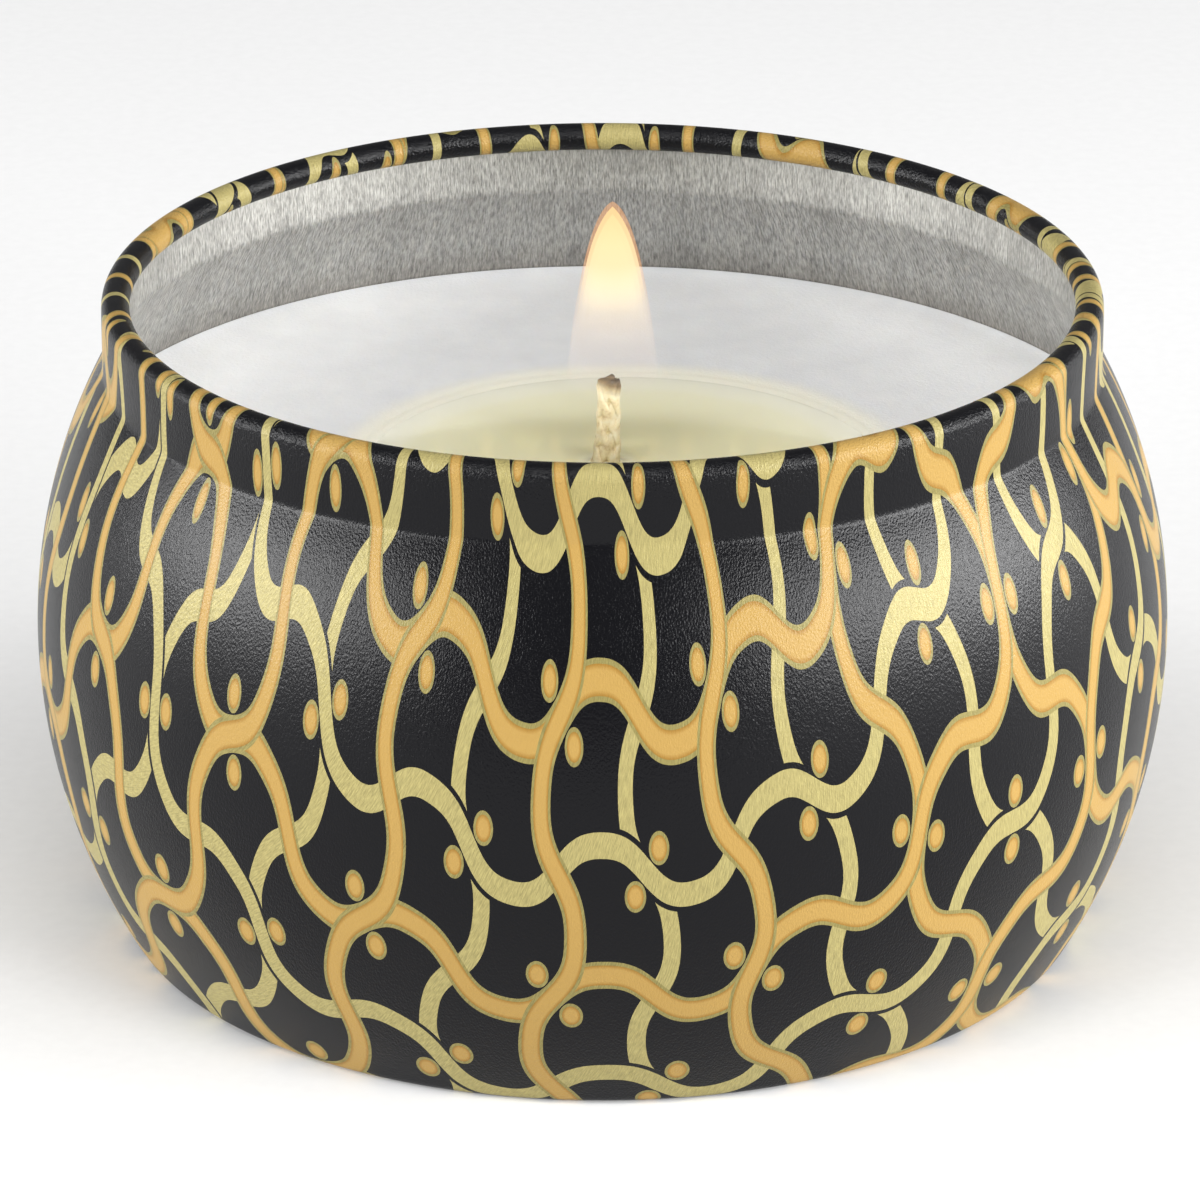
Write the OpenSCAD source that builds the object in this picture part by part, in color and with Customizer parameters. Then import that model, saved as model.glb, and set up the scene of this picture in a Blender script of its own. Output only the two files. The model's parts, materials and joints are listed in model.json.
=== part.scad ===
// Candle tin: a drawn round tin with a bulged wall and a curled rim, holding a burning wax fill.
// The frame's origin is the middle of the base, on the table, with +Z up. Millimetres.

/* [Tin] */
// Height from the table to the top of the rim
tin_h = 44.4; // [42:0.2:60]
// Widest diameter of the tin, at its belly
belly_d = 76; // [74:0.5:90]
// Height of the widest point above the table
belly_h = 20.6; // [16:0.2:24]
// Outside diameter of the straight neck that a lid slips over
neck_d = 66.4; // [56:0.2:70]
// Height of the neck, from the shoulder crease to the top of the rim
neck_h = 5.2; // [3:0.1:7]
// Outside diameter just above the base corner
foot_d = 65.6; // [58:0.2:70]
// Radius of the corner between the wall and the base
knee_r = 0.8; // [0.6:0.1:1.5]
// Thickness of the tinplate
wall = 0.3; // [0.2:0.05:0.5]
// Outside diameter of the bead, where the rim is curled inwards
bead_d = 1.9; // [1.4:0.1:2.4]

/* [Base] */
// Width of the flat ring that the tin stands on
ring_w = 2.2; // [1.5:0.1:4]
// Height of the base panel inside that ring above the table
panel_up = 0.8; // [0.4:0.1:1.5]
// Diameter of the round paper label under the panel
label_d = 48; // [20:1:52]
// Thickness of the label
label_t = 0.1; // [0.05:0.05:0.2]

/* [Wax] */
// Height of the wax surface above the table
wax_h = 32.2; // [24:0.2:34]
// Diameter of the melted pool
pool_d = 34.8; // [28:0.2:50]
// Diameter of the pool's deeper middle
pool_core_d = 29; // [20:0.2:27.8]
// Depth of the pool's shallow edge
pool_shelf = 0.8; // [0.4:0.1:1.5]
// Depth of the pool's middle
pool_depth = 4; // [2:0.1:8]
// Drop from the wax surface to the pool's surface
pool_drop = 0.15; // [0.05:0.05:0.6]
// Pool's offset from the tin's axis, to the right
pool_x = 1.4; // [-4:0.1:4]
// Pool's offset from the tin's axis, to the back
pool_y = -2.5; // [-4:0.1:4]

/* [Wick] */
// Diameter of the waxed wick
wick_d = 1.8; // [1.2:0.1:3]
// Length of wick that stands above the wax
wick_out = 6.5; // [3:0.1:10]
// Wick's offset from the tin's axis, to the right
wick_x = 0.2; // [-3:0.1:3]
// Wick's offset from the tin's axis, to the back
wick_y = -1.7; // [-3:0.1:3]
// Diameter of the wick's metal tab, and of the sticker under it
tab_d = 20; // [12:0.5:24]
// Thickness of the tab's sheet
tab_t = 0.25; // [0.2:0.05:0.4]
// Height of the tab's crimped collar
collar_h = 6; // [3:0.5:9]
// Height of the cone that joins the tab's disc to its collar
tab_cone_h = 1; // [0.5:0.1:1.5]
// Thickness of the double-sided sticker
sticker_t = 0.8; // [0.5:0.1:1.5]

/* [Hidden] */
$fn = 144;
// Overlap past a cut's own faces
over = 1;
// Side of a half-plane that is larger than the tin
big = 200;

belly_r = belly_d / 2;
neck_r = neck_d / 2;
bead_r = bead_d / 2;
shoulder_h = tin_h - neck_h;
bead_z = tin_h - bead_r;
// Height of the base panel's upper face, where the sticker is glued
floor_h = panel_up + wall;
// How far the curled edge runs past the bottom of the bead
curl_past = 0.3;

// Radius of an arc that starts upright and moves in by inset over a height of rise
function arc_radius(rise, inset) = (rise * rise + inset * inset) / (2 * inset);

upper_r = arc_radius(shoulder_h - belly_h, belly_r - neck_r);
lower_r = arc_radius(belly_h - knee_r, belly_r - foot_d / 2);

// Middle of the knee's arc, which touches the lower wall's arc and the table
knee_x = belly_r - lower_r + sqrt(pow(lower_r - knee_r, 2) - pow(belly_h - knee_r, 2));
// Height where the knee and the lower wall touch, g inside the outer skin
function knee_top(g) = belly_h - (lower_r - g) * (belly_h - knee_r) / (lower_r - knee_r);
// Inner radius of the standing ring
ring_in = knee_x - ring_w;

tab_r = tab_d / 2;
wick_r = wick_d / 2;
// Radius where the tab's flat disc turns up into its cone
tab_flat_r = 0.4 * tab_r;
tab_z = floor_h + sticker_t;
wick_z = tab_z + tab_cone_h;
wick_top = wax_h + wick_out;

pool_z = wax_h - pool_drop;
pool_core_r = pool_core_d / 2;
pool_bowl_r = arc_radius(pool_core_r, pool_depth - pool_shelf);

// Half section of the space inside the wall, g inside the tin's outer skin and open up to top
module wall_space(g, top) {
    translate([0, g]) square([knee_x, belly_h - g]);
    translate([knee_x, knee_r]) circle(knee_r - g);
    intersection() {
        translate([belly_r - lower_r, belly_h]) circle(lower_r - g);
        translate([0, knee_top(g)]) square([big, belly_h - knee_top(g)]);
    }
    intersection() {
        translate([belly_r - upper_r, belly_h]) circle(upper_r - g);
        translate([0, belly_h]) square([big, shoulder_h - belly_h]);
    }
    translate([0, belly_h]) square([neck_r - g, top - belly_h]);
}

// Half section of the space under the raised base panel, g inside its lower face
module panel_space(g) {
    slope_r = ring_in + g * tan(22.5);
    polygon([
        [0, -over],
        [slope_r + g + over, -over],
        [slope_r - panel_up, panel_up + g],
        [0, panel_up + g]
    ]);
}

// Half section of everything inside the skin, g inside it
module skin_space(g, top) {
    difference() {
        wall_space(g, top);
        panel_space(g);
    }
}

// Half section of the rim's curl, three quarters of a turn inwards and down
module bead_section() {
    translate([neck_r - bead_r, bead_z]) difference() {
        circle(bead_r);
        circle(bead_r - wall);
        translate([curl_past, -bead_d]) square([bead_d, bead_d]);
    }
}

module tin_shell() {
    color("#26262A") rotate_extrude() {
        difference() {
            skin_space(0, bead_z);
            skin_space(wall, bead_z + over);
        }
        bead_section();
    }
}

module base_label() {
    color("#F3F1EC") translate([0, 0, panel_up - label_t]) cylinder(d = label_d, h = label_t);
}

module wick_sticker() {
    color("#EDEDEA") translate([wick_x, wick_y, floor_h]) cylinder(d = tab_d, h = sticker_t);
}

// Stamped disc with a cone and a collar; hollow is false for the space that it displaces
module tab_form(hollow) {
    collar_r = wick_r + tab_t;
    outside = [
        [tab_r, 0],
        [tab_r, tab_t],
        [tab_flat_r, tab_t],
        [collar_r, tab_cone_h + tab_t],
        [collar_r, collar_h]
    ];
    inside = hollow
        ? [[wick_r, collar_h], [wick_r, tab_cone_h], [tab_flat_r, 0]]
        : [[0, collar_h], [0, 0]];
    translate([wick_x, wick_y, tab_z]) rotate_extrude() polygon(concat(outside, inside));
}

module wick_tab() {
    color("#B8BABD") tab_form(true);
}

module wick() {
    color("#CDBB98") translate([wick_x, wick_y, wick_z])
        cylinder(r = wick_r, h = wick_top - wick_z);
}

// Flat-topped lens of melted wax: a sloping shelf round a deeper bowl
module pool_form() {
    translate([pool_x, pool_y, pool_z]) rotate_extrude() {
        polygon([[0, -pool_shelf], [pool_core_r, -pool_shelf], [pool_d / 2, 0], [0, 0]]);
        intersection() {
            translate([0, pool_bowl_r - pool_depth]) circle(pool_bowl_r);
            translate([0, -pool_depth]) square([pool_core_r, pool_depth]);
        }
    }
}

module melt_pool() {
    color("#E3DBA6") difference() {
        pool_form();
        translate([wick_x, wick_y, 0]) cylinder(r = wick_r, h = tin_h);
    }
}

module wax_fill() {
    color("#E6E1D8") difference() {
        rotate_extrude() intersection() {
            skin_space(wall, tin_h);
            square([big, wax_h]);
        }
        pool_form();
        translate([pool_x, pool_y, pool_z]) cylinder(d = pool_d, h = pool_drop + over);
        translate([wick_x, wick_y, 0]) cylinder(r = wick_r, h = tin_h);
        translate([wick_x, wick_y, 0]) cylinder(d = tab_d, h = tab_z);
        tab_form(false);
    }
}

tin_shell();
base_label();
wick_sticker();
wick_tab();
wick();
wax_fill();
melt_pool();
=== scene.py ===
import json
import math

import bpy
import numpy as np
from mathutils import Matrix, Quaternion, Vector


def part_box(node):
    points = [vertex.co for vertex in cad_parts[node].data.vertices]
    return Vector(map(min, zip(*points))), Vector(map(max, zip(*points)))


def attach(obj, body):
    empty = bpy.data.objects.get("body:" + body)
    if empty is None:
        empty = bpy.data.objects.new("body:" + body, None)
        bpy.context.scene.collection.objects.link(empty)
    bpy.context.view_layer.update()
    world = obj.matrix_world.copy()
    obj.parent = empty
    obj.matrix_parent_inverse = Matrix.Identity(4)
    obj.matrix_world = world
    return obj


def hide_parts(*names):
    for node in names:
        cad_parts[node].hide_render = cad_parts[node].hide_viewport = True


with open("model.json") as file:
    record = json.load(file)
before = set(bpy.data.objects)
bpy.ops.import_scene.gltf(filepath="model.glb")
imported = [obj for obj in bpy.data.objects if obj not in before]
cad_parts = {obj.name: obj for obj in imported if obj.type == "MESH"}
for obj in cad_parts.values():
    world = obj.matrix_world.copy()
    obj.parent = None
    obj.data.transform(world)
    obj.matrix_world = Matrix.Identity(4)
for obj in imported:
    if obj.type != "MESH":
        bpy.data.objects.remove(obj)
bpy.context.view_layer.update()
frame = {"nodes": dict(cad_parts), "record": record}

# Sizes are in millimetres, and a mesh is turned to metres when it is made.
MM = 0.001

# ---------------------------------------------------------------- sizes taken from the frame

shell_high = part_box("tin_shell")[1] / MM
wax_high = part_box("wax_fill")[1] / MM
pool_low, pool_high = (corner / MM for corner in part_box("melt_pool"))
wick_low, wick_high = (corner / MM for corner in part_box("wick"))
lid_seat = next(m for m in frame["record"]["mounts"] if m["name"] == "lid_seat")

TIN_H = shell_high.z
BELLY_R = shell_high.x
NECK_R = lid_seat["dims"]["r_mm"]
WAX_H = wax_high.z
POOL_X, POOL_Y = (pool_low.x + pool_high.x) / 2, (pool_low.y + pool_high.y) / 2
POOL_R = (pool_high.x - pool_low.x) / 2
POOL_H = pool_high.z
POOL_FLOOR = pool_low.z
POOL_CORE = 29.0 / 34.8     # share of the pool's radius that is its bowl
POOL_SHELF = 0.8            # depth of the shelf round the bowl
WICK_X, WICK_Y = (wick_low.x + wick_high.x) / 2, (wick_low.y + wick_high.y) / 2
WICK_FOOT, WICK_TOP = wick_low.z, wick_high.z

# ---------------------------------------------------------------- sizes of the drawn tin

BELLY_H = 20.6      # height of the widest point
NECK_H = 5.2        # height of the straight neck
SHOULDER_H = TIN_H - NECK_H
FOOT_R = 32.8       # radius just above the base corner
KNEE_R = 0.8        # radius of the base corner
BEAD_R = 0.95       # radius of the curled rim
CURL_END = -72.0    # degrees where the curl's cut edge stops, inside the bead
RING_W = 2.2        # width of the standing ring
PANEL_UP = 0.8      # height of the base panel
WALL = 0.3          # thickness of the tinplate
BEND = 0.3          # half width of the bends pressed into the sheet
WAX_GAP = 0.02      # between the wax and the tin

COLUMNS = 256       # points in one turn of the shell and the wax

# ---------------------------------------------------------------- geometry


def arc_radius(rise, inset):
    """Radius of an arc that starts upright and moves in by inset over a height of rise."""
    return (rise * rise + inset * inset) / (2 * inset)


def arc(x, z, radius, start, end, count):
    """Points of the circle about (x, z), evenly spaced from one angle to another, in degrees."""
    angle = np.radians(np.linspace(start, end, count))
    return np.stack([x + radius * np.cos(angle), z + radius * np.sin(angle)], 1)


def lengths(line):
    """Distance along a line of points, from its first point to each."""
    return np.r_[0, np.cumsum(np.hypot(*np.diff(line, axis=0).T))]


def rounded(points, bend, step=0.02):
    """The line through points with its corners made round: each point becomes the average of the
    line within bend of it. Both ends stay, because the line goes on past them turned half round."""
    at = lengths(points)
    fine = np.arange(0, at[-1], step)
    line = np.stack([np.interp(fine, at, points[:, k]) for k in (0, 1)], 1)
    half = int(round(bend / step))
    before = 2 * line[0] - line[half:0:-1]
    after = 2 * line[-1] - line[-2:-half - 2:-1]
    padded = np.concatenate([before, line, after])
    total = np.cumsum(np.concatenate([np.zeros((1, 2)), padded]), 0)
    return (total[2 * half + 1:] - total[:-2 * half - 1]) / (2 * half + 1)


def thinned(line, count, turn_share=0.6):
    """Numbers of count points of a fine line, spread partly by length and partly by how far the
    line turns, so that tight bends keep many points."""
    step = np.diff(line, axis=0)
    length = np.hypot(*step.T)
    turn = np.abs(np.diff(np.unwrap(np.arctan2(step[:, 1], step[:, 0])), prepend=0))
    turn[0] = 0
    share = (1 - turn_share) * length / length.sum() + turn_share * turn / turn.sum()
    at = np.r_[0, np.cumsum(share)]
    return np.unique(np.searchsorted(at, np.linspace(0, at[-1], count)).clip(0, len(line) - 1))


def moved_in(line, distance):
    """The line moved to the left of its own direction by a distance."""
    along = np.gradient(line, axis=0)
    along /= np.hypot(*along.T)[:, None]
    return line + distance * np.stack([-along[:, 1], along[:, 0]], 1)


def rings(radius, height, x=0.0, y=0.0, columns=COLUMNS):
    """One ring of points for each radius and height, turned about (x, y), which may be arrays."""
    radius, height, x, y = np.broadcast_arrays(radius, height, x, y)
    turn = np.linspace(0, 2 * np.pi, columns, endpoint=False)
    return np.stack([
        x[:, None] + radius[:, None] * np.cos(turn),
        y[:, None] + radius[:, None] * np.sin(turn),
        height[:, None] + 0 * turn,
    ], -1)


def with_poles(grid):
    """The points of a grid of rings, and then the middle points of its first and last rings."""
    return np.concatenate([grid.reshape(-1, 3), grid[[0, -1]].mean(1)])


def closed_skins(name, grids):
    """One mesh of closed skins, each over a grid of rings in mm, with its end rings joined to their
    middle points. Faces look outwards when the rings run anticlockwise seen from above and the rows
    go up the outside."""
    quads, fans, count = [], [], 0
    for grid in grids:
        rows, columns = grid.shape[:2]
        corner = count + np.arange(rows * columns).reshape(rows, columns)
        beside = np.roll(corner, -1, 1)
        count += rows * columns
        quads.append(np.stack([corner[:-1], beside[:-1], beside[1:], corner[1:]], -1))
        fans.append(np.stack([beside[0], corner[0], np.full(columns, count)], -1))
        fans.append(np.stack([corner[-1], beside[-1], np.full(columns, count + 1)], -1))
        count += 2
    points = np.concatenate([with_poles(grid) for grid in grids])
    return mesh_object(name, points, np.concatenate([q.reshape(-1, 4) for q in quads]),
                       np.concatenate(fans))


def mesh_object(name, points, quads, tris):
    """A smooth mesh object from arrays of points in mm and of four- and three-sided faces."""
    data = bpy.data.meshes.new(name)
    loops = np.concatenate([quads.ravel(), tris.ravel()]).astype(np.int32)
    sizes = np.r_[np.full(len(quads), 4), np.full(len(tris), 3)].astype(np.int32)
    data.vertices.add(len(points))
    data.vertices.foreach_set("co", (points * MM).astype(np.float32).ravel())
    data.loops.add(len(loops))
    data.loops.foreach_set("vertex_index", loops)
    data.polygons.add(len(sizes))
    data.polygons.foreach_set("loop_start", np.r_[0, np.cumsum(sizes)[:-1]].astype(np.int32))
    data.polygons.foreach_set("use_smooth", np.ones(len(sizes), bool))
    data.update(calc_edges=True)
    data.validate()
    made = bpy.data.objects.new(name, data)
    bpy.context.scene.collection.objects.link(made)
    return made


def map_points(made, name, places):
    """Gives a mesh a UV map of its own, from one place for each of its points."""
    layer = made.data.uv_layers.new(name=name)
    corners = np.empty(len(made.data.loops), np.int32)
    made.data.loops.foreach_get("vertex_index", corners)
    layer.data.foreach_set("uv", places[corners].astype(np.float32).ravel())


def mark_points(made, name, values):
    """Gives a mesh a number for each of its points."""
    made.data.attributes.new(name, "FLOAT", "POINT")
    made.data.attributes[name].data.foreach_set("value", values.astype(np.float32))


def finished(made, materials, stands_for=()):
    """Puts a piece's materials on and tells the frame what it rides on and stands for."""
    for material in materials:
        made.data.materials.append(material)
    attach(made, "root")
    if stands_for:
        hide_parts(*stands_for)


# ---------------------------------------------------------------- shader helpers


def srgb(code):
    """Linear RGBA from a hex colour as a screen shows it."""
    parts = [int(code[i:i + 2], 16) / 255 for i in (1, 3, 5)]
    return (*(p / 12.92 if p <= 0.04045 else ((p + 0.055) / 1.055) ** 2.4 for p in parts), 1.0)


def add(tree, kind, inputs=None, stops=None, **settings):
    """Adds a node with its settings. inputs gives each used socket, by name or by number among
    those in use, a value or the node or socket that feeds it. stops are a colour ramp's."""
    made = tree.nodes.new("ShaderNode" + kind)
    for key, value in settings.items():
        setattr(made, key, value)
    used = [s for s in made.inputs if s.enabled]
    for key, value in (inputs or {}).items():
        socket = used[key] if isinstance(key, int) else next(s for s in used if s.name == key)
        if isinstance(value, bpy.types.Node):
            value = next(s for s in value.outputs if s.enabled)
        if isinstance(value, bpy.types.NodeSocket):
            tree.links.new(value, socket)
        else:
            socket.default_value = value
    if stops:
        ramp = made.color_ramp
        while len(ramp.elements) < len(stops):
            ramp.elements.new(1.0)
        for element, (place, colour) in zip(ramp.elements, stops):
            element.position = place
            element.color = colour
    return made


def new_material(name):
    """A node material and its empty tree."""
    material = bpy.data.materials.new(name)
    material.use_nodes = True
    material.node_tree.nodes.clear()
    return material, material.node_tree


def grey(value):
    """A grey colour stop of a given brightness, 0 to 1, linear."""
    return (value, value, value, 1.0)


# ---------------------------------------------------------------- the print on the tin

# The sheet is printed flat and drawn afterwards, so the lattice is even on the flat round blank and
# stretched on the tin. All of these are millimetres on the blank.
PITCH_X, PITCH_Y = 14.9, 14.6       # distance between two ribbons of one colour
START_X, START_Y = -3.54, -42.2     # where an amber upright crosses an amber crossbar
WAVE = 1.7                          # how far a ribbon swings to each side
WAVE_EDGE = 0.07                    # share of a third harmonic that steepens the swing
RIBBON_HALF, RIBBON_FILL = 0.87, 0.64   # half width of an amber ribbon, and of the amber in it
GOLD_HALF, GOLD_GAP = 0.66, 0.28    # half width of a gold ribbon, and the gap beside a crossbar
DOT_HALF, DOT_FILL = 0.86, 0.66     # radius of a dot, and of the amber in it
AMBER_DOT, GOLD_DOT = (1.28, 1.26), (1.08, -1.18)   # from a crossing of each colour to its dot
AMBER_FADE = 0.24                   # width over which the amber is inked darker at its edge
LEAN, LEAN_FROM = -0.0255, -48.0    # slope of the uprights, and where it starts to move them
PRINT_SHIFT = (0.19, -0.34)         # how far the blank lay off centre in the drawing die


def ribbon_offset(tree, across, along, start, phase, pitch_along, swing):
    """How far a place lies from the nearest wavy centre line before it is wrapped, and the slope's
    length factor. The line is swing * (sin t + edge * sin 3t), with t one turn for each pitch."""
    turn = add(tree, "Math", {0: along, 1: -phase}, operation="ADD")
    turn = add(tree, "Math", {0: turn, 1: 2 * math.pi / pitch_along}, operation="MULTIPLY")
    triple = add(tree, "Math", {0: turn, 1: 3.0}, operation="MULTIPLY")
    sine = add(tree, "Math", {0: turn}, operation="SINE")
    sine3 = add(tree, "Math", {0: triple}, operation="SINE")
    wave = add(tree, "Math", {0: sine3, 1: WAVE_EDGE, 2: sine}, operation="MULTIPLY_ADD")
    offset = add(tree, "Math", {0: wave, 1: -swing, 2: across}, operation="MULTIPLY_ADD")
    offset = add(tree, "Math", {0: offset, 1: -start}, operation="ADD")
    cosine = add(tree, "Math", {0: turn}, operation="COSINE")
    cosine3 = add(tree, "Math", {0: triple}, operation="COSINE")
    slope = add(tree, "Math", {0: cosine3, 1: 3 * WAVE_EDGE, 2: cosine}, operation="MULTIPLY_ADD")
    steep = swing * 2 * math.pi / pitch_along
    slope = add(tree, "Math", {0: slope, 1: steep}, operation="MULTIPLY")
    square = add(tree, "Math", {0: slope, 1: slope, 2: 1.0}, operation="MULTIPLY_ADD")
    return offset, add(tree, "Math", {0: square}, operation="SQRT")


def ribbon_distance(tree, offset, stretch, pitch, shift):
    """Distance from the nearest centre line of one colour, measured square to the line."""
    moved = add(tree, "Math", {0: offset, 1: -shift}, operation="ADD")
    wrapped = add(tree, "Math", {0: moved, 1: pitch / 2, 2: -pitch / 2}, operation="WRAP")
    size = add(tree, "Math", {0: wrapped}, operation="ABSOLUTE")
    return add(tree, "Math", {0: size, 1: stretch}, operation="DIVIDE")


def ink_code(tree, distance, half, fill):
    """0 outside a printed shape, 1 on its gold rim, and 2 to 3 from the amber's edge inwards. Plain
    gold ribbons have 0.75."""
    shape = add(tree, "Math", {0: distance, 1: half}, operation="LESS_THAN")
    amber = add(tree, "Math", {0: distance, 1: fill}, operation="LESS_THAN")
    depth = add(tree, "MapRange", {"Value": distance, "From Min": fill, "To Min": 1.0,
                                   "From Max": fill - AMBER_FADE, "To Max": 2.0})
    return add(tree, "Math", {0: amber, 1: depth, 2: shape}, operation="MULTIPLY_ADD")


def printed_over(tree, below, above):
    """Ink codes with one layer over another: the layer below shows where the upper one is 0."""
    free = add(tree, "Math", {0: above, 1: 0.5}, operation="LESS_THAN")
    return add(tree, "Math", {0: below, 1: free, 2: above}, operation="MULTIPLY_ADD")


def dot_distance(tree, x, y, start, place):
    """Distance from the nearer of the two dots that sit on either side of each crossing."""
    cell_x = add(tree, "Math", {0: x, 1: -start[0]}, operation="ADD")
    cell_x = add(tree, "Math", {0: cell_x, 1: PITCH_X / 2, 2: -PITCH_X / 2}, operation="WRAP")
    cell_y = add(tree, "Math", {0: y, 1: -start[1]}, operation="ADD")
    cell_y = add(tree, "Math", {0: cell_y, 1: PITCH_Y / 2, 2: -PITCH_Y / 2}, operation="WRAP")
    cell = add(tree, "CombineXYZ", {0: cell_x, 1: cell_y})
    spot = (*place, 0.0)
    other = (-place[0], -place[1], 0.0)
    near = add(tree, "VectorMath", {0: cell, 1: spot}, operation="DISTANCE").outputs["Value"]
    far = add(tree, "VectorMath", {0: cell, 1: other}, operation="DISTANCE").outputs["Value"]
    return add(tree, "Math", {0: near, 1: far}, operation="MINIMUM")


def lattice_code(tree):
    """Ink code of the whole print, from the piece's place on the flat blank. From the sheet up:
    gold uprights, gold crossbars that clear a gap, the dots, and the amber ribbons."""
    blank = add(tree, "UVMap", uv_map="blank")
    place = add(tree, "SeparateXYZ", {0: blank})
    x, y = place.outputs["X"], place.outputs["Y"]
    upright = ribbon_offset(tree, x, y, START_X, START_Y + PITCH_Y / 2, PITCH_Y, WAVE)
    crossbar = ribbon_offset(tree, y, x, START_Y, START_X + PITCH_X / 2, PITCH_X, WAVE)

    gold_up = ribbon_distance(tree, *upright, PITCH_X, PITCH_X / 2)
    gold_bar = ribbon_distance(tree, *crossbar, PITCH_Y, PITCH_Y / 2)
    code = add(tree, "Math", {0: gold_up, 1: GOLD_HALF}, operation="LESS_THAN")
    clear = add(tree, "Math", {0: gold_bar, 1: GOLD_HALF + GOLD_GAP}, operation="GREATER_THAN")
    bar = add(tree, "Math", {0: gold_bar, 1: GOLD_HALF}, operation="LESS_THAN")
    code = add(tree, "Math", {0: code, 1: clear, 2: bar}, operation="MULTIPLY_ADD")
    code = add(tree, "Math", {0: code, 1: 0.75}, operation="MULTIPLY")

    for start, spot in (
        ((START_X, START_Y), AMBER_DOT),
        ((START_X + PITCH_X / 2, START_Y + PITCH_Y / 2), GOLD_DOT),
    ):
        dot = dot_distance(tree, x, y, start, spot)
        code = printed_over(tree, code, ink_code(tree, dot, DOT_HALF, DOT_FILL))

    amber_up = ribbon_distance(tree, *upright, PITCH_X, 0)
    amber_bar = ribbon_distance(tree, *crossbar, PITCH_Y, 0)
    # Uprights lie over crossbars in four columns, and under them in the next two.
    column = add(tree, "Math", {0: x, 1: -START_X + 2.5 * PITCH_X}, operation="ADD")
    column = add(tree, "Math", {0: column, 1: 6 * PITCH_X, 2: 0.0}, operation="WRAP")
    turned = add(tree, "Math", {0: column, 1: 4 * PITCH_X}, operation="GREATER_THAN")
    over = add(tree, "Mix", {0: turned, 1: amber_up, 2: amber_bar}, data_type="FLOAT")
    under = add(tree, "Mix", {0: turned, 1: amber_bar, 2: amber_up}, data_type="FLOAT")
    for distance in (under, over):
        code = printed_over(tree, code, ink_code(tree, distance, RIBBON_HALF, RIBBON_FILL))
    return code, blank


def by_ink(tree, code, black, gold, rim, edge, amber):
    """Picks a colour by ink code, and blends the amber's edge into the amber."""
    share = add(tree, "Math", {0: code, 1: 3.0}, operation="DIVIDE")
    return add(tree, "ValToRGB", {0: share}, stops=[
        (0.0, black), (0.16, black), (0.17, gold), (0.28, gold), (0.3, rim), (0.6, rim),
        (0.61, edge), (0.67, edge), (1.0, amber),
    ])


# ---------------------------------------------------------------- materials


def printed_tinplate():
    """Offset-printed tinplate under a satin varnish: opaque black, gold that is the brushed sheet
    seen through a gold lacquer, and amber ink over it. The varnish has a fine orange-peel grain."""
    material, tree = new_material("printed_tinplate")
    code, blank = lattice_code(tree)
    colour = by_ink(tree, code, srgb("#07070A"), srgb("#918757"), srgb("#7A7143"),
                    srgb("#825F24"), srgb("#9C7E44"))
    metal = by_ink(tree, code, grey(0.0), grey(0.05), grey(0.05), grey(0.0), grey(0.0))
    rough = by_ink(tree, code, grey(0.26), grey(0.36), grey(0.36), grey(0.34), grey(0.33))
    bare = by_ink(tree, code, grey(0.0), grey(1.0), grey(1.0), grey(0.3), grey(0.1))

    # Rolling marks of the sheet, 0.09 mm wide and 0.6 mm long, show in the bare gold.
    slanted = add(tree, "Mapping", {"Vector": blank, "Rotation": (0, 0, math.radians(-63)),
                                    "Scale": (0.6, 0.09, 1.0)}, vector_type="TEXTURE")
    marks = add(tree, "TexNoise", {"Vector": slanted, "Scale": 1.0, "Detail": 2.0})
    marks = add(tree, "MapRange", {"Value": marks, "From Min": 0.3, "From Max": 0.7,
                                   "To Min": 0.76, "To Max": 1.24})
    plain = add(tree, "Mix", {0: bare, 1: 1.0, 2: marks}, data_type="FLOAT")
    shade = add(tree, "VectorMath", {0: colour, 1: plain}, operation="MULTIPLY")

    # Orange peel of the varnish, 0.12 mm across and drawn out upwards, and deeper where the rim
    # is curled.
    object_place = add(tree, "TexCoord").outputs["Object"]
    drawn = add(tree, "Mapping", {"Vector": object_place, "Scale": (8500.0, 8500.0, 4500.0)})
    peel = add(tree, "TexNoise", {"Vector": drawn, "Scale": 1.0, "Detail": 2.0})
    height = add(tree, "SeparateXYZ", {0: object_place}).outputs["Z"]
    depth = add(tree, "MapRange", {"Value": height, "From Min": (TIN_H - 3.0) * MM,
                                   "From Max": (TIN_H - 1.0) * MM, "To Min": 1.0, "To Max": 2.2})
    peel = add(tree, "Math", {0: peel, 1: depth}, operation="MULTIPLY")
    bump = add(tree, "Bump", {"Strength": 1.0, "Distance": 0.00004, "Height": peel})
    shader = add(tree, "BsdfPrincipled", {
        "Base Color": shade, "Metallic": metal, "Roughness": rough, "Normal": bump,
        "Specular IOR Level": 0.18,
    })
    add(tree, "OutputMaterial", {"Surface": shader})
    return material


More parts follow.
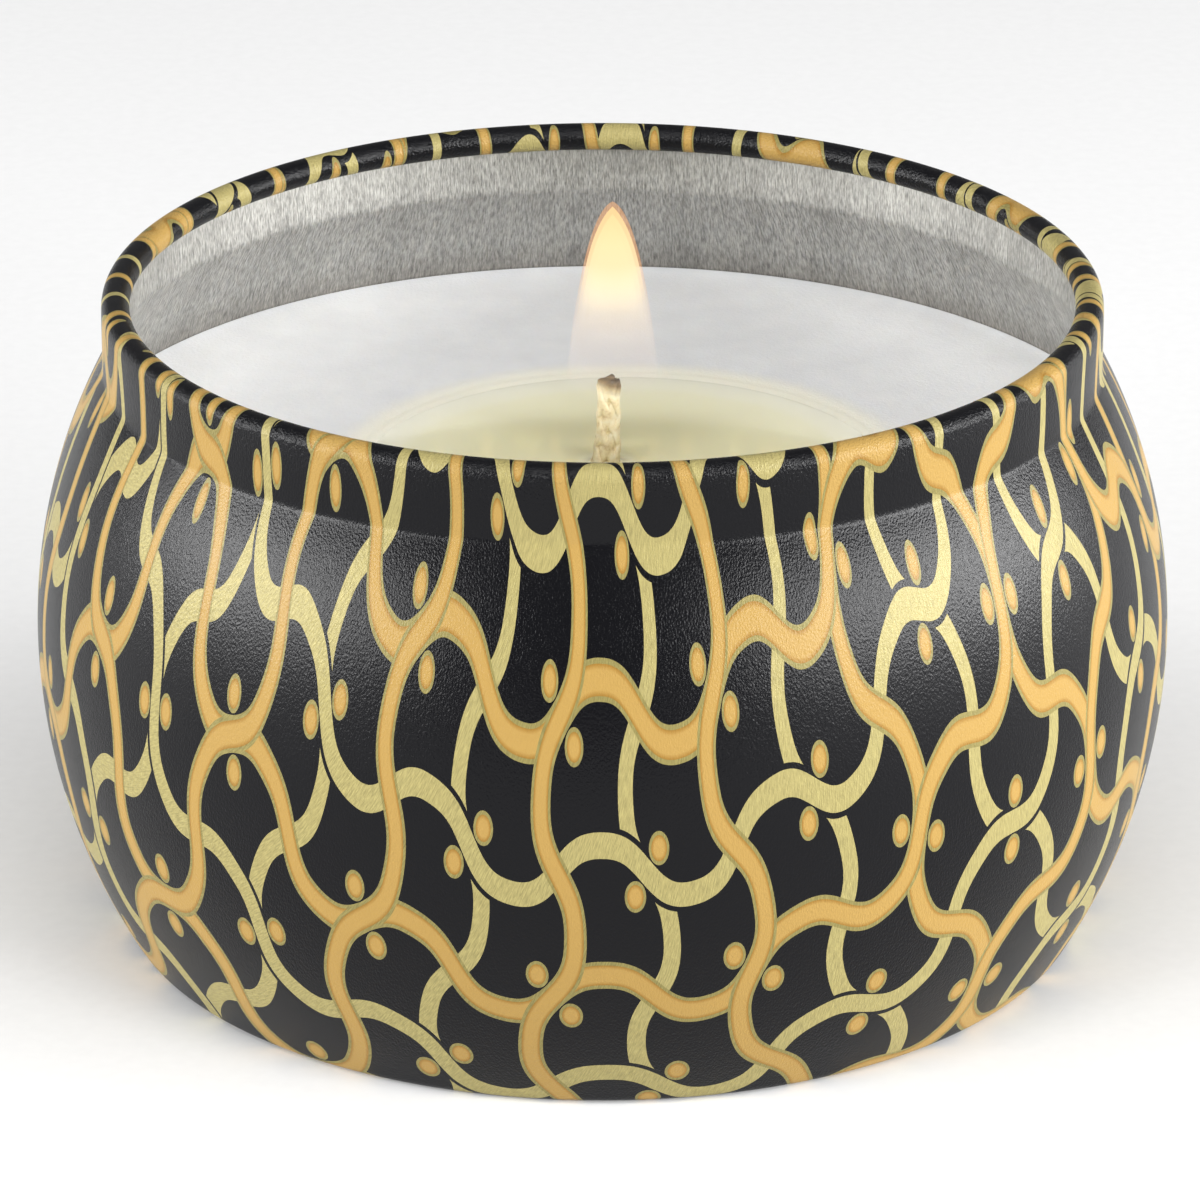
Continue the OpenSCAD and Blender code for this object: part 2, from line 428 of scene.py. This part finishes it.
def bare_tinplate():
    """Bare drawn tinplate: soft grey tin, with upright draw marks from the die. Its tone is painted
    by height: darker towards the wax, with a dark line of painted shade in the crease at the wax,
    and darker again towards the rim as painted shade against the light that falls there."""
    material, tree = new_material("bare_tinplate")
    place = add(tree, "TexCoord").outputs["Object"]
    # Draw marks, 0.11 mm wide and 0.6 mm tall, laid out round the wall by angle.
    level = add(tree, "VectorMath", {0: place, 1: (1.0, 1.0, 0.0)}, operation="MULTIPLY")
    round_wall = add(tree, "VectorMath", {0: level}, operation="NORMALIZE")
    rise = add(tree, "VectorMath", {0: place, 1: (0.0, 0.0, 1700.0)}, operation="MULTIPLY")
    round_wall = add(tree, "VectorMath", {0: round_wall, 1: (300.0, 300.0, 0.0), 2: rise},
                     operation="MULTIPLY_ADD")
    marks = add(tree, "TexNoise", {"Vector": round_wall, "Scale": 1.0, "Detail": 3.0,
                                   "Roughness": 0.6})
    broad = add(tree, "TexNoise", {"Vector": round_wall, "Scale": 0.05, "Detail": 2.0})
    height = add(tree, "SeparateXYZ", {0: place}).outputs["Z"]
    # Painted shade by height over the wax: a dark line in the crease at the wax, a darker band
    # above it, and the wall painted darker towards the rim to take off the light that falls there.
    painted_shade_height = add(tree, "MapRange", {"Value": height, "From Min": WAX_H * MM,
                                 "From Max": (WAX_H + 9.0) * MM, "To Min": 0.0, "To Max": 1.0})
    tone = add(tree, "ValToRGB", {0: painted_shade_height}, stops=[
        (0.0, srgb("#77716A")), (0.05, srgb("#A8A59F")), (0.3, srgb("#BDBCB8")),
        (0.6, srgb("#BAB9B5")), (1.0, srgb("#B0AFAA")),
    ])
    streak = add(tree, "MapRange", {"Value": marks, "From Min": 0.3, "From Max": 0.7,
                                    "To Min": 0.48, "To Max": 1.2})
    wide = add(tree, "MapRange", {"Value": broad, "From Min": 0.3, "From Max": 0.7,
                                  "To Min": 0.9, "To Max": 1.08})
    both = add(tree, "Math", {0: streak, 1: wide}, operation="MULTIPLY")
    shade = add(tree, "VectorMath", {0: tone, 1: both}, operation="MULTIPLY")
    rough = add(tree, "MapRange", {"Value": marks, "From Min": 0.3, "From Max": 0.7,
                                   "To Min": 0.52, "To Max": 0.66})
    bump = add(tree, "Bump", {"Strength": 0.8, "Distance": 0.00003, "Height": marks})
    shader = add(tree, "BsdfPrincipled", {
        "Base Color": shade, "Metallic": 1.0, "Roughness": rough, "Normal": bump,
    })
    add(tree, "OutputMaterial", {"Surface": shader})
    return material


def distance_from_pool(tree, place):
    """How far a place lies from the upright line through the pool's middle, in metres."""
    flat = add(tree, "Mapping", {"Vector": place, "Location": (-POOL_X * MM, -POOL_Y * MM, 0.0),
                                 "Scale": (1.0, 1.0, 0.0)})
    return add(tree, "VectorMath", {0: flat}, operation="LENGTH").outputs["Value"]


def cast_wax():
    """Container wax that has set in the tin: soft off-white, light goes a few millimetres in, and
    the top has the faint mottle and dimples of slow cooling."""
    material, tree = new_material("cast_wax")
    place = add(tree, "TexCoord").outputs["Object"]
    mottle = add(tree, "TexNoise", {"Vector": place, "Scale": 260.0, "Detail": 5.0,
                                    "Roughness": 0.6})
    tone = add(tree, "ValToRGB", {0: mottle}, stops=[
        (0.3, srgb("#E5E5E6")), (0.7, srgb("#EEEEEE")),
    ])
    # Wax that the flame has softened is creamier, over 3.5 mm round the pool.
    past = add(tree, "Math", {0: distance_from_pool(tree, place), 1: -POOL_R * MM}, operation="ADD")
    cream = add(tree, "MapRange", {"Value": past, "From Max": 3.5 * MM, "To Min": 1.0,
                                   "To Max": 0.0}, interpolation_type="SMOOTHERSTEP")
    tone = add(tree, "Mix", {0: cream, 1: tone, 2: srgb("#F9F4E0")}, data_type="RGBA")
    fine = add(tree, "TexNoise", {"Vector": place, "Scale": 4000.0, "Detail": 4.0,
                                  "Roughness": 0.6})
    bump = add(tree, "Bump", {"Strength": 0.8, "Distance": 0.00006, "Height": fine})
    rough = add(tree, "MapRange", {"Value": mottle, "To Min": 0.42, "To Max": 0.6})
    shader = add(tree, "BsdfPrincipled", {
        "Base Color": tone, "Roughness": rough, "IOR": 1.44, "Normal": bump,
        "Subsurface Weight": 0.25, "Subsurface Radius": (1.0, 0.8, 0.6), "Subsurface Scale": 0.003,
    })
    add(tree, "OutputMaterial", {"Surface": shader})
    return material


def melted_wax():
    """Liquid wax: a clear pale yellow melt over white wax, deeper in colour where it is deeper,
    with a wet, mirror-smooth top."""
    material, tree = new_material("melted_wax")
    place = add(tree, "TexCoord").outputs["Object"]
    share = add(tree, "Math", {0: distance_from_pool(tree, place), 1: POOL_R * MM},
                operation="DIVIDE")
    ripple = add(tree, "TexNoise", {"Vector": place, "Scale": 140.0, "Detail": 2.0})
    ripple = add(tree, "MapRange", {"Value": ripple, "To Min": -0.03, "To Max": 0.03})
    share = add(tree, "Math", {0: share, 1: ripple}, operation="ADD")
    tone = add(tree, "ValToRGB", {0: share}, stops=[
        (0.0, srgb("#FBF3C5")), (0.55, srgb("#FBF4C9")), (0.84, srgb("#FCF6D2")),
        (0.89, srgb("#FDF8DA")), (1.0, srgb("#FDF9E0")),
    ])
    shader = add(tree, "BsdfPrincipled", {
        "Base Color": tone, "Roughness": 0.07, "IOR": 1.43,
        "Subsurface Weight": 0.15, "Subsurface Radius": (1.0, 0.8, 0.4), "Subsurface Scale": 0.002,
    })
    add(tree, "OutputMaterial", {"Surface": shader})
    return material


def braided_cotton():
    """Braided cotton soaked in wax: straw-coloured yarn, mottled lighter and darker at random,
    scorched brown and then black over its last millimetre."""
    material, tree = new_material("braided_cotton")
    place = add(tree, "TexCoord").outputs["Object"]
    fibres = add(tree, "TexNoise", {"Vector": place, "Scale": 1500.0, "Detail": 5.0,
                                    "Roughness": 0.6})
    tone = add(tree, "ValToRGB", {0: fibres}, stops=[
        (0.28, srgb("#CDB283")), (0.44, srgb("#F0DDB0")), (0.7, srgb("#FDF3D4")),
    ])
    # The char reaches lower on the right, where the flame leans.
    place = add(tree, "SeparateXYZ", {0: place})
    height = add(tree, "Math", {0: place.outputs["X"], 1: 0.35, 2: place.outputs["Z"]},
                 operation="MULTIPLY_ADD")
    uneven = add(tree, "MapRange", {"Value": fibres, "To Min": -0.0004, "To Max": 0.0004})
    height = add(tree, "Math", {0: height, 1: uneven}, operation="ADD")
    burnt = add(tree, "MapRange", {"Value": height, "From Min": (WICK_TOP - 1.2) * MM,
                                   "From Max": (WICK_TOP + 0.15) * MM})
    char = add(tree, "ValToRGB", {0: burnt}, stops=[
        (0.0, grey(1.0)), (0.5, srgb("#8E7F6A")), (0.85, srgb("#3A322A")), (1.0, srgb("#1E1916")),
    ])
    shade = add(tree, "VectorMath", {0: tone, 1: char}, operation="MULTIPLY")
    bump = add(tree, "Bump", {"Strength": 0.6, "Distance": 0.00005, "Height": fibres})
    shader = add(tree, "BsdfPrincipled", {
        "Base Color": shade, "Roughness": 0.55, "IOR": 1.45, "Normal": bump,
        "Subsurface Weight": 0.1, "Subsurface Radius": (1.0, 0.7, 0.4), "Subsurface Scale": 0.0005,
    })
    add(tree, "OutputMaterial", {"Surface": shader})
    return material


def candle_flame():
    """Glowing soot in a candle flame: orange at the skin, pale yellow inside, clear round the
    wick. The mark "depth" is 0 on the flame's skin and 1 on its innermost layer."""
    material, tree = new_material("candle_flame")
    depth = add(tree, "Attribute", attribute_name="depth").outputs["Fac"]
    height = add(tree, "Attribute", attribute_name="height").outputs["Fac"]
    skin = add(tree, "ValToRGB", {0: height}, stops=[
        (0.18, srgb("#FBE9DA")), (0.5, srgb("#FFE3C0")), (0.72, srgb("#FFB878")),
    ])
    heart = add(tree, "ValToRGB", {0: height}, stops=[
        (0.27, srgb("#FBE4D4")), (0.55, srgb("#FFF8D8")), (0.8, srgb("#FFFAC8")),
        (1.0, srgb("#FFE8A8")),
    ])
    inwards = add(tree, "Math", {0: depth, 1: 0.4}, operation="POWER")
    tone = add(tree, "Mix", {0: inwards, 1: skin, 2: heart}, data_type="RGBA")
    # Share of the light behind that each layer hides.
    skin_solid = add(tree, "ValToRGB", {0: height}, stops=[
        (0.03, grey(0.0)), (0.12, grey(0.03)), (0.3, grey(0.09)), (0.5, grey(0.14)),
        (0.7, grey(0.22)),
    ])
    heart_solid = add(tree, "ValToRGB", {0: height}, stops=[
        (0.36, grey(0.0)), (0.48, grey(0.1)), (0.58, grey(0.4)), (0.68, grey(0.8)),
    ])
    solid = add(tree, "Mix", {0: inwards, 1: skin_solid, 2: heart_solid}, data_type="RGBA")
    shader = add(tree, "BsdfPrincipled", {
        "Base Color": (0, 0, 0, 1), "Roughness": 1.0, "Specular IOR Level": 0.0,
        "Emission Color": tone, "Emission Strength": 1.2, "Alpha": solid,
    })
    add(tree, "OutputMaterial", {"Surface": shader})
    return material


def stamped_steel():
    """Tin-plated steel strip: bright grey with fine rolling lines and faint blotches of plating."""
    material, tree = new_material("stamped_steel")
    place = add(tree, "TexCoord").outputs["Object"]
    rolled = add(tree, "Mapping", {"Vector": place, "Scale": (300.0, 5000.0, 300.0)})
    lines = add(tree, "TexNoise", {"Vector": rolled, "Scale": 1.0, "Detail": 3.0})
    tone = add(tree, "ValToRGB", {0: lines}, stops=[
        (0.3, srgb("#A9ABAE")), (0.7, srgb("#CFD1D3")),
    ])
    rough = add(tree, "MapRange", {"Value": lines, "To Min": 0.25, "To Max": 0.42})
    bump = add(tree, "Bump", {"Strength": 0.3, "Distance": 0.00001, "Height": lines})
    shader = add(tree, "BsdfPrincipled", {
        "Base Color": tone, "Metallic": 1.0, "Roughness": rough, "Normal": bump,
    })
    add(tree, "OutputMaterial", {"Surface": shader})
    return material


def sticker_foam():
    """Closed-cell polyethylene foam tape: white, matt, with 0.3 mm cells."""
    material, tree = new_material("sticker_foam")
    place = add(tree, "TexCoord").outputs["Object"]
    cells = add(tree, "TexVoronoi", {"Vector": place, "Scale": 3300.0})
    tone = add(tree, "ValToRGB", {0: cells.outputs["Distance"]}, stops=[
        (0.0, srgb("#F4F4F2")), (0.8, srgb("#D9D9D5")),
    ])
    bump = add(tree, "Bump", {"Strength": 0.5, "Distance": 0.00005,
                              "Height": cells.outputs["Distance"]})
    shader = add(tree, "BsdfPrincipled", {"Base Color": tone, "Roughness": 0.8, "Normal": bump})
    add(tree, "OutputMaterial", {"Surface": shader})
    return material


def label_paper():
    """Uncoated label paper: warm white, matt, with a faint fibrous tooth."""
    material, tree = new_material("label_paper")
    place = add(tree, "TexCoord").outputs["Object"]
    fibre = add(tree, "TexNoise", {"Vector": place, "Scale": 1800.0, "Detail": 6.0,
                                   "Roughness": 0.7})
    tone = add(tree, "ValToRGB", {0: fibre}, stops=[
        (0.3, srgb("#ECE8DF")), (0.7, srgb("#F8F5EE")),
    ])
    bump = add(tree, "Bump", {"Strength": 0.3, "Distance": 0.00003, "Height": fibre})
    shader = add(tree, "BsdfPrincipled", {"Base Color": tone, "Roughness": 0.85, "Normal": bump})
    add(tree, "OutputMaterial", {"Surface": shader})
    return material


# ---------------------------------------------------------------- the pieces


def skin_line():
    """The tin's outer skin in section, from the axis under the base to the curl's cut edge: panel,
    slope, standing ring, knee, lower and upper arcs of the wall, neck, and the curled bead."""
    lower_r = arc_radius(BELLY_H - KNEE_R, BELLY_R - FOOT_R)
    upper_r = arc_radius(SHOULDER_H - BELLY_H, BELLY_R - NECK_R)
    knee_x = BELLY_R - lower_r + math.sqrt((lower_r - KNEE_R) ** 2 - (BELLY_H - KNEE_R) ** 2)
    lean = math.degrees(math.asin((BELLY_H - KNEE_R) / (lower_r - KNEE_R)))
    close = math.degrees(math.asin((SHOULDER_H - BELLY_H) / upper_r))
    ring_in = knee_x - RING_W
    bead_z = TIN_H - BEAD_R
    return np.concatenate([
        [[0.0, PANEL_UP], [ring_in - PANEL_UP, PANEL_UP], [ring_in, 0.0]],
        arc(knee_x, KNEE_R, KNEE_R, -90, -lean, 24),
        arc(BELLY_R - lower_r, BELLY_H, lower_r, -lean, 0, 120)[1:],
        arc(BELLY_R - upper_r, BELLY_H, upper_r, 0, close, 120)[1:],
        arc(NECK_R - BEAD_R, bead_z, BEAD_R, 0, 360 + CURL_END, 80),
    ])


DRAW_FROM = 34.0                    # radius on the blank past which the die thins the sheet
DRAW_THIN, DRAW_EASE = 0.105, 0.00225   # how much it thins, and how that eases off further out
BASE_GROWTH, BASE_REACH = 0.6, 20.0     # how far the base stretches, and over what radius


def blank_radius(line):
    """Radius on the flat blank of each point of the skin. Drawing all but keeps the sheet's area,
    so half its square grows by radius times length along the skin; the wall is drawn a little
    thinner than the base, which the last lines allow for."""
    radius = (line[1:, 0] + line[:-1, 0]) / 2
    even = np.sqrt(2 * np.r_[0, np.cumsum(radius * np.diff(lengths(line)))])
    past = np.maximum(even - DRAW_FROM, 0)
    base = BASE_GROWTH * (1 - np.exp(-(even / BASE_REACH) ** 4))
    return even + base - DRAW_THIN * past + DRAW_EASE * past ** 2


def make_tin_shell():
    """The drawn tin: its outer skin and the same line moved in by the sheet's thickness, turned
    about the axis as one closed surface. Its UV map is each point's place on the flat blank. Gives
    back the inner line."""
    line = rounded(skin_line(), BEND)
    blank = blank_radius(line)
    inner = moved_in(line, WALL)
    # The first point is on the axis, and is left to the poles.
    out_rows = thinned(line, 215)[1:]
    in_rows = thinned(line, 120)[:0:-1]
    section = np.concatenate([line[out_rows], inner[in_rows]])
    made = closed_skins("tin_shell_drawn", [rings(section[:, 0], section[:, 1])])
    spread = np.r_[blank[out_rows], blank[in_rows]]
    flat = with_poles(rings(spread, 0 * spread))[:, :2]
    flat += PRINT_SHIFT + [LEAN, 0.0] * (flat[:, 1:] - LEAN_FROM)
    map_points(made, "blank", flat)
    bare = np.arange(len(section) - 1) >= len(out_rows) - 1
    faces = np.r_[np.repeat(bare, COLUMNS), np.repeat([False, True], COLUMNS)]
    made.data.polygons.foreach_set("material_index", faces.astype(np.int32))
    finished(made, [printed_tinplate(), bare_tinplate()], ["tin_shell"])
    return inner


def dish_height(share):
    """Height of the dish under the melt for each share of the pool's radius: a bowl in the middle
    and a shelf that slopes up to the edge."""
    shelf = POOL_H - POOL_SHELF
    bowl = POOL_FLOOR + (shelf - POOL_FLOOR) * (share / POOL_CORE) ** 2
    edge = shelf + POOL_SHELF * (np.clip(share - POOL_CORE, 0, 1) / (1 - POOL_CORE)) ** 1.5
    return np.where(share < POOL_CORE, bowl, edge)


WAX_SLOPE = 1.8                     # width of the slope from the pool up to the top
LIP_AT, LIP_W, LIP_H = 0.45, 0.28, 0.05     # the low bead beside the pool
CLIMB_W, CLIMB_H = 0.45, 0.28       # where the wax wets the wall
WAX_SAG = 0.10                      # how far the top sinks between the pool and the wall


def make_wax(inner):
    """The wax casting. Its rows are circles: those of the dish lie about the pool's middle, those
    of the top move over to the tin's axis, and those of the side follow the wall's inner line."""
    wall = inner[inner[:, 1] < WAX_H]
    wall = wall[wall[:, 0] > 0.01][::-1]
    wall = wall[thinned(wall, 90)]
    wall_r = wall[0, 0]

    dish = np.linspace(0.02, 0.985, 26)
    top = np.r_[np.linspace(0, 0.2, 26)[:-1], np.linspace(0.2, 0.9, 26), np.linspace(0.91, 1, 16)]
    dish_h = dish_height(dish)
    top_r = POOL_R + (wall_r - WAX_GAP - POOL_R) * top
    # The top slopes up from the pool with a low bead beside it, and climbs a little where the wax
    # wets the wall.
    gap = (wall_r - POOL_R) * top
    from_wall = wall_r - top_r
    slope = np.clip(gap / WAX_SLOPE, 0, 1)
    lip = (POOL_H - WAX_H) * (1 - slope ** 2 * (3 - 2 * slope))
    lip += LIP_H * np.exp(-((gap - LIP_AT) / LIP_W) ** 2)
    climb = CLIMB_H * np.exp(-from_wall / CLIMB_W)
    top_h = WAX_H + lip + climb - WAX_SAG * np.sin(np.pi * top)
    side = wall[1:]

    radius = np.r_[dish * POOL_R, top_r, side[:, 0] - WAX_GAP]
    height = np.r_[dish_h, top_h, side[:, 1] + WAX_GAP]
    share = np.r_[np.zeros(len(dish)), top ** 1.5, np.ones(len(side))]
    grid = rings(radius, height, POOL_X * (1 - share), POOL_Y * (1 - share))
    # Slow cooling leaves the top a few hundredths of a millimetre uneven.
    x, y = grid[..., 0], grid[..., 1]
    uneven = np.sin(0.31 * x + 1.3) * np.sin(0.27 * y + 0.4) + 0.5 * np.sin(0.62 * x - 0.55 * y)
    calm = np.r_[np.zeros(len(dish)), np.sin(np.pi * top) ** 0.5, np.zeros(len(side))]
    grid[..., 2] += 0.035 * uneven * calm[:, None]
    # The rows run from the top's middle outwards and down, so they are turned over to face out.
    made = closed_skins("wax_casting", [grid[::-1]])
    finished(made, [cast_wax()], ["wax_fill"])


def make_melt_pool():
    """The melt: its top is level but for its edge, which dips under the wax, and a climb up the
    wick that dies away outwards; its underside lies just inside the dish."""
    columns = 160
    hole = 0.7          # radius left open for the wick
    tuck = 0.25         # how far the edge runs under the wax
    top = np.r_[np.linspace(0, 1, 24)[:-1] ** 2 * 0.2, np.linspace(0.2, 0.93, 14),
                np.linspace(0.94, 1.0, 10)]
    radius = hole + (POOL_R + tuck - hole) * top
    at_wick = 0.6 * np.exp(-(radius - hole) / 0.6)
    at_edge = -0.03 * np.clip((radius - POOL_R + 0.3) / 0.55, 0, 1) ** 2
    height = POOL_H + at_wick + at_edge
    # The rings move from the wick's axis to the pool's middle on their way out.
    share = top ** 1.2
    x = WICK_X + (POOL_X - WICK_X) * share
    y = WICK_Y + (POOL_Y - WICK_Y) * share
    under = np.linspace(0.985, 0.04, 24)
    grid = np.concatenate([
        rings(radius, height, x, y, columns),
        rings(under * POOL_R, dish_height(under) + 0.03, POOL_X, POOL_Y, columns),
    ])
    made = closed_skins("melt_pool_liquid", [grid[::-1]])
    finished(made, [melted_wax()], ["melt_pool"])


WICK_YARNS = 8
WICK_LAY = 8.4              # height in which a yarn goes once round
WICK_FLAT = 0.72            # depth of the flat braid over its width
YARN_HALF = 0.30            # a yarn's size, as a share of half the braid's width
YARN_DEEP, YARN_WIDE = 0.8, 1.5     # its depth and its width, over that size
FRAY = 0.10                 # how far the yarns' ends spread
CORE_HALF = 0.88            # the core's width over the braid's


def wick_flare(height):
    """1 at the pool and below it, and dying away over a millimetre or so above it."""
    return np.exp(-np.maximum(height - POOL_H, 0) / 1.4)


def wick_half_width(height):
    """Half the braid's width at a height: even above, and flared where it is swollen with wax."""
    return 0.84 + 0.34 * wick_flare(height)


def wick_lean(height):
    """How far the wick's middle stands to the right: the flare runs out to the left."""
    return 0.22 - 0.28 * wick_flare(height)


def make_wick():
    """A braid of yarns. Yarn k runs round an oval, half of the yarns one way and half the other,
    and bulges out and in twice a turn so that it passes over and under those it meets. Each is a
    tube of 8 sides; its top ends at its own height, frayed outwards."""
    rows, sides = 220, 8
    turn = np.linspace(0, 2 * np.pi, sides, endpoint=False)[None, :, None]
    rng = np.random.default_rng(7)
    tops = WICK_TOP - 0.3 - rng.uniform(0.0, 0.3, WICK_YARNS)
    tubes = []
    for k in range(WICK_YARNS):
        way = 1 if k % 2 else -1
        height = np.linspace(WICK_FOOT, tops[k], rows)
        half = wick_half_width(height)
        angle = way * 2 * np.pi * height / WICK_LAY + (k // 2) * 2 * np.pi / (WICK_YARNS / 2)
        cross = np.cos(angle * (WICK_YARNS / 2) + (0 if way > 0 else np.pi))
        thick = YARN_HALF * half
        out = half - thick * (1.0 - 0.1 * cross)
        out += FRAY * np.clip((height - tops[k] + 0.5) / 0.5, 0, 1) ** 2
        middle = np.stack([
            WICK_X + wick_lean(height) + out * np.cos(angle),
            WICK_Y + WICK_FLAT * out * np.sin(angle),
            height,
        ], -1)
        along = np.gradient(middle, axis=0)
        along /= np.linalg.norm(along, axis=1)[:, None]
        outward = np.stack([np.cos(angle), WICK_FLAT * np.sin(angle), 0 * angle], -1)
        outward -= (outward * along).sum(1)[:, None] * along
        outward /= np.linalg.norm(outward, axis=1)[:, None]
        sideways = np.cross(along, outward)
        thin = np.clip((tops[k] - height) / 0.25, 0.35, 1)
        tubes.append(middle[:, None] + (thick * thin)[:, None, None] * (
            YARN_DEEP * np.cos(turn) * outward[:, None]
            + YARN_WIDE * np.sin(turn) * sideways[:, None]
        ))
    # The core that the yarns are braided round.
    core_h = np.linspace(WICK_FOOT, WICK_TOP - 0.5, 60)
    core_r = CORE_HALF * wick_half_width(core_h)
    core = rings(core_r, core_h, WICK_X + wick_lean(core_h), WICK_Y, columns=16)
    core[..., 1] = WICK_Y + (core[..., 1] - WICK_Y) * WICK_FLAT
    made = closed_skins("wick_braid", [*tubes, core])
    finished(made, [braided_cotton()], ["wick"])


FLAME_TIP, FLAME_FOOT = 50.8, 37.0
FLAME_X = 0.66
FLAME_WIDE, FLAME_TAPER = 0.93, 0.0045      # half width 1 mm below the tip, and its loss per mm
FLAME_INSETS = (0.0, 0.16, 0.40, 0.75)      # how far each layer lies inside the skin
FLAME_START = 2.2       # how far below the tip a layer starts, over its inset


def make_flame():
    """Layers of glowing gas, one inside the next. Half the width at a depth t below the tip grows
    as the root of t, less a little further down, and each layer is narrower and starts lower."""
    columns, rows = 48, 70
    layers = []
    for inset in FLAME_INSETS:
        start = FLAME_START * inset
        share = np.linspace(0.02, 1, rows) ** 1.5
        down = start + (FLAME_TIP - FLAME_FOOT - 2 * start) * share
        half = FLAME_WIDE * np.sqrt(down) * (1 - FLAME_TAPER * down)
        half -= inset + (half[0] - inset) * (1 - share) ** 8
        foot = np.clip((1 - np.linspace(0, 1, rows)) / 0.08, 0, 1) ** 0.5
        half = np.maximum(half * foot, 0.02)
        layers.append(rings(half, FLAME_TIP - down, FLAME_X, WICK_Y, columns)[::-1])
    made = closed_skins("candle_flame", layers)
    high = np.concatenate([with_poles(layer) for layer in layers])[:, 2]
    mark_points(made, "depth", np.repeat(np.linspace(0, 1, len(layers)), len(high) / len(layers)))
    mark_points(made, "height", (high - FLAME_FOOT) / (FLAME_TIP - FLAME_FOOT))
    finished(made, [candle_flame()])


def dress(node, material):
    """Gives a CAD node its material, in place of the plain one."""
    data = frame["nodes"][node].data
    data.materials.clear()
    data.materials.append(material)


# ---------------------------------------------------------------- the studio


def make_camera():
    """A long lens a little above the tin, aimed at the middle of its axis."""
    distance, rise, aim_h = 522.0, math.radians(22.685), 21.671
    data = bpy.data.cameras.new("camera")
    data.lens = 232.4
    data.sensor_width = 36.0
    data.shift_x = -0.0021
    data.clip_start, data.clip_end = 0.01, 20.0
    camera = bpy.data.objects.new("camera", data)
    bpy.context.scene.collection.objects.link(camera)
    back, up = distance * math.cos(rise), distance * math.sin(rise)
    camera.location = Vector((0, -back, aim_h + up)) * MM
    camera.rotation_euler = (math.pi / 2 - rise, 0, 0)
    bpy.context.scene.camera = camera


def make_softbox(name, turn, rise, distance, width, height, brightness, roll=0):
    """A rectangular area light that faces the tin. turn is its angle round the tin from the front,
    to the right, rise its angle above the table and roll its turn about the way it faces, in
    degrees; sizes are in metres. A face of this brightness gives off pi times as much power for
    each square metre."""
    data = bpy.data.lights.new(name, "AREA")
    data.shape = "RECTANGLE"
    data.size, data.size_y = width, height
    data.energy = brightness * math.pi * width * height
    light = bpy.data.objects.new(name, data)
    bpy.context.scene.collection.objects.link(light)
    a, e = math.radians(turn), math.radians(rise)
    way = Vector((math.sin(a) * math.cos(e), -math.cos(a) * math.cos(e), math.sin(e)))
    aim = Vector((0, 0, 0.025))
    light.location = aim + way * distance
    facing = way.to_track_quat("Z", "Y") @ Quaternion((0, 0, 1), math.radians(roll))
    light.rotation_euler = facing.to_euler()


def make_studio():
    """A pale table, a white room and three softboxes."""
    side = 600.0
    corners = np.array([[-side, -side, 0], [side, -side, 0], [side, side, 0], [-side, side, 0]])
    table = mesh_object("table_top", corners, np.array([[0, 1, 2, 3]]), np.zeros((0, 3), int))
    material, tree = new_material("pale_table")
    place = add(tree, "TexCoord").outputs["Object"]
    tooth = add(tree, "TexNoise", {"Vector": place, "Scale": 900.0, "Detail": 3.0})
    tone = add(tree, "ValToRGB", {0: tooth}, stops=[(0.3, grey(0.71)), (0.7, grey(0.73))])
    shader = add(tree, "BsdfPrincipled", {
        "Base Color": tone, "Roughness": 0.9, "Specular IOR Level": 0.1,
    })
    add(tree, "OutputMaterial", {"Surface": shader})
    table.data.materials.append(material)

    # The room is white to look at, and gives the tin about a quarter of that light.
    world = bpy.data.worlds.new("white_room")
    world.use_nodes = True
    tree = world.node_tree
    tree.nodes.clear()
    seen = add(tree, "LightPath").outputs["Is Camera Ray"]
    strength = add(tree, "MapRange", {"Value": seen, "To Min": 0.25, "To Max": 0.9})
    room = add(tree, "Background", {"Color": grey(1.0), "Strength": strength})
    add(tree, "OutputWorld", {"Surface": room})
    bpy.context.scene.world = world

    # The side boxes are rolled so that their front ends stand higher.
    make_softbox("softbox_left", -73, 13.5, 0.8, 0.95, 0.18, 21.5, roll=8)
    make_softbox("softbox_right", 71, 13.5, 0.8, 1.15, 0.18, 26.0, roll=-9)
    make_softbox("softbox_top", 0, 62, 0.9, 0.8, 0.08, 21.0)
    bpy.context.scene.view_settings.view_transform = "Standard"


make_camera()
make_studio()
inner_line = make_tin_shell()
make_wax(inner_line)
make_melt_pool()
make_wick()
make_flame()
dress("wick_tab", stamped_steel())
dress("wick_sticker", sticker_foam())
dress("base_label", label_paper())
